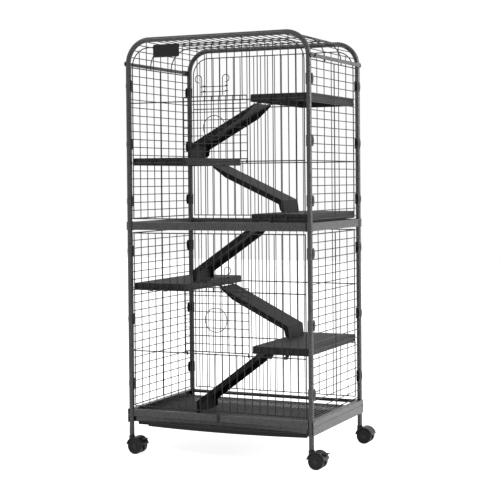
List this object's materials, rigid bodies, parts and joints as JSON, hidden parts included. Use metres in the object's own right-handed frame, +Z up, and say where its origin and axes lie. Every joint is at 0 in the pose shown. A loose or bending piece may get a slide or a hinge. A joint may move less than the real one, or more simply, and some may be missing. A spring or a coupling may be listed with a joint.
{
  "type": "ferret cage",
  "caption": "Tall wire cage on casters: tube frame, welded grid panels, drop-down doors with lift latches, lipped platforms joined by ramps, floor grate and pull-out tray.",
  "frame": {"origin": "bottom centre of the overall box, on the floor under the casters", "axes": "+X to the right seen from the front, -Y out of the front (doors), +Z up"},
  "size_m": [0.6966, 0.4885, 1.328],
  "materials": {
    "frame": "dark grey hammered powder coat",
    "wire": "dark grey powder coat",
    "sheet": "near-black powder coat, satin",
    "plastic": "black, matt",
    "tray": "black, slightly satin",
    "steel": "bright zinc",
    "wheel": "black, satin"
  },
  "bodies": {
    "cage": {"front_arch": "frame", "back_arch": "frame", "front_left_post": "frame", "front_right_post": "frame", "back_left_post": "frame", "back_right_post": "frame", "mid_collars": "frame", "left_top_rail": "frame", "right_top_rail": "frame", "mid_front_bar": "frame", "mid_back_bar": "frame", "mid_left_bar": "frame", "mid_right_bar": "frame", "base_front_rail": "frame", "base_left_rail": "frame", "base_right_rail": "frame", "base_back_upper_rail": "frame", "base_back_lower_rail": "frame", "roof_panel": "wire", "left_upper_panel": "wire", "right_upper_panel": "wire", "left_lower_panel": "wire", "right_lower_panel": "wire", "back_upper_panel": "wire", "back_lower_panel": "wire", "front_upper_panel": "wire", "front_lower_panel": "wire", "floor_grate": "wire", "platform_1": "sheet", "platform_2": "sheet", "platform_3": "sheet", "platform_4": "sheet", "platform_5": "sheet", "platform_hooks": "sheet", "panel_clips": "plastic", "post_plugs": "plastic", "frame_bolts": "steel", "caster_stems": "steel"},
    "upper_door": {"upper_door": "wire"},
    "lower_door": {"lower_door": "wire"},
    "upper_latch": {"upper_latch": "wire"},
    "lower_latch": {"lower_latch": "wire"},
    "tray": {"tray": "tray"},
    "ramp_1": {"ramp_1": "sheet"},
    "ramp_2": {"ramp_2": "sheet"},
    "ramp_3": {"ramp_3": "sheet"},
    "ramp_4": {"ramp_4": "sheet"},
    "ramp_5": {"ramp_5": "sheet"},
    "caster_front_left": {"caster_front_left": "plastic"},
    "wheels_front_left": {"wheels_front_left": "wheel"},
    "caster_front_right": {"caster_front_right": "plastic"},
    "wheels_front_right": {"wheels_front_right": "wheel"},
    "caster_back_left": {"caster_back_left": "plastic"},
    "wheels_back_left": {"wheels_back_left": "wheel"},
    "caster_back_right": {"caster_back_right": "plastic"},
    "wheels_back_right": {"wheels_back_right": "wheel"},
    "pedal_left": {"pedal_left": "plastic"},
    "pedal_right": {"pedal_right": "plastic"}
  },
  "joints": [
    {"name": "upper_door_hinge", "type": "hinge", "parent": "cage", "child": "upper_door", "pos_m": [-0.02072, -0.19985, 0.93], "axis": [1, 0, 0], "range_deg": [0, 140]},
    {"name": "lower_door_hinge", "type": "hinge", "parent": "cage", "child": "lower_door", "pos_m": [-0.02072, -0.19985, 0.33], "axis": [1, 0, 0], "range_deg": [0, 140]},
    {"name": "upper_latch_slide", "type": "slide", "parent": "cage", "child": "upper_latch", "axis": [0, 0, 1], "range_m": [-0.01, 0.016]},
    {"name": "lower_latch_slide", "type": "slide", "parent": "cage", "child": "lower_latch", "axis": [0, 0, 1], "range_m": [-0.01, 0.016]},
    {"name": "tray_slide", "type": "slide", "parent": "cage", "child": "tray", "axis": [0, -1, 0], "range_m": [0, 0.35]},
    {"name": "ramp_1_tilt", "type": "hinge", "parent": "cage", "child": "ramp_1", "pos_m": [0.09303, -0.0743, 1.1155], "axis": [0, 1, 0], "range_deg": [0, 30]},
    {"name": "ramp_2_tilt", "type": "hinge", "parent": "cage", "child": "ramp_2", "pos_m": [-0.13447, 0.0417, 0.9245], "axis": [0, -1, 0], "range_deg": [0, 30]},
    {"name": "ramp_3_tilt", "type": "hinge", "parent": "cage", "child": "ramp_3", "pos_m": [0.09303, -0.0643, 0.7475], "axis": [0, 1, 0], "range_deg": [0, 30]},
    {"name": "ramp_4_tilt", "type": "hinge", "parent": "cage", "child": "ramp_4", "pos_m": [-0.13447, 0.0877, 0.5255], "axis": [0, -1, 0], "range_deg": [0, 30]},
    {"name": "ramp_5_tilt", "type": "hinge", "parent": "cage", "child": "ramp_5", "pos_m": [0.09303, -0.0443, 0.3395], "axis": [0, 1, 0], "range_deg": [0, 30]},
    {"name": "caster_front_left_swivel", "type": "hinge", "parent": "cage", "child": "caster_front_left", "pos_m": [-0.33272, -0.1963, 0.045], "axis": [0, 0, 1], "continuous": true},
    {"name": "wheels_front_left_spin", "type": "hinge", "parent": "caster_front_left", "child": "wheels_front_left", "pos_m": [-0.31272, -0.1963, 0.025], "axis": [0, 1, 0], "continuous": true},
    {"name": "caster_front_right_swivel", "type": "hinge", "parent": "cage", "child": "caster_front_right", "pos_m": [0.29128, -0.1963, 0.045], "axis": [0, 0, 1], "continuous": true},
    {"name": "wheels_front_right_spin", "type": "hinge", "parent": "caster_front_right", "child": "wheels_front_right", "pos_m": [0.31128, -0.1963, 0.025], "axis": [0, 1, 0], "continuous": true},
    {"name": "caster_back_left_swivel", "type": "hinge", "parent": "cage", "child": "caster_back_left", "pos_m": [-0.33272, 0.2227, 0.045], "axis": [0, 0, 1], "continuous": true},
    {"name": "wheels_back_left_spin", "type": "hinge", "parent": "caster_back_left", "child": "wheels_back_left", "pos_m": [-0.31272, 0.2227, 0.025], "axis": [0, 1, 0], "continuous": true},
    {"name": "caster_back_right_swivel", "type": "hinge", "parent": "cage", "child": "caster_back_right", "pos_m": [0.29128, 0.2227, 0.045], "axis": [0, 0, 1], "continuous": true},
    {"name": "wheels_back_right_spin", "type": "hinge", "parent": "caster_back_right", "child": "wheels_back_right", "pos_m": [0.31128, 0.2227, 0.025], "axis": [0, 1, 0], "continuous": true},
    {"name": "pedal_left_pivot", "type": "hinge", "parent": "caster_front_left", "child": "pedal_left", "pos_m": [-0.29151, -0.1963, 0.04621], "axis": [0, 1, 0], "range_deg": [-12, 14]},
    {"name": "pedal_right_pivot", "type": "hinge", "parent": "caster_front_right", "child": "pedal_right", "pos_m": [0.33249, -0.1963, 0.04621], "axis": [0, 1, 0], "range_deg": [-12, 14]}
  ]
}
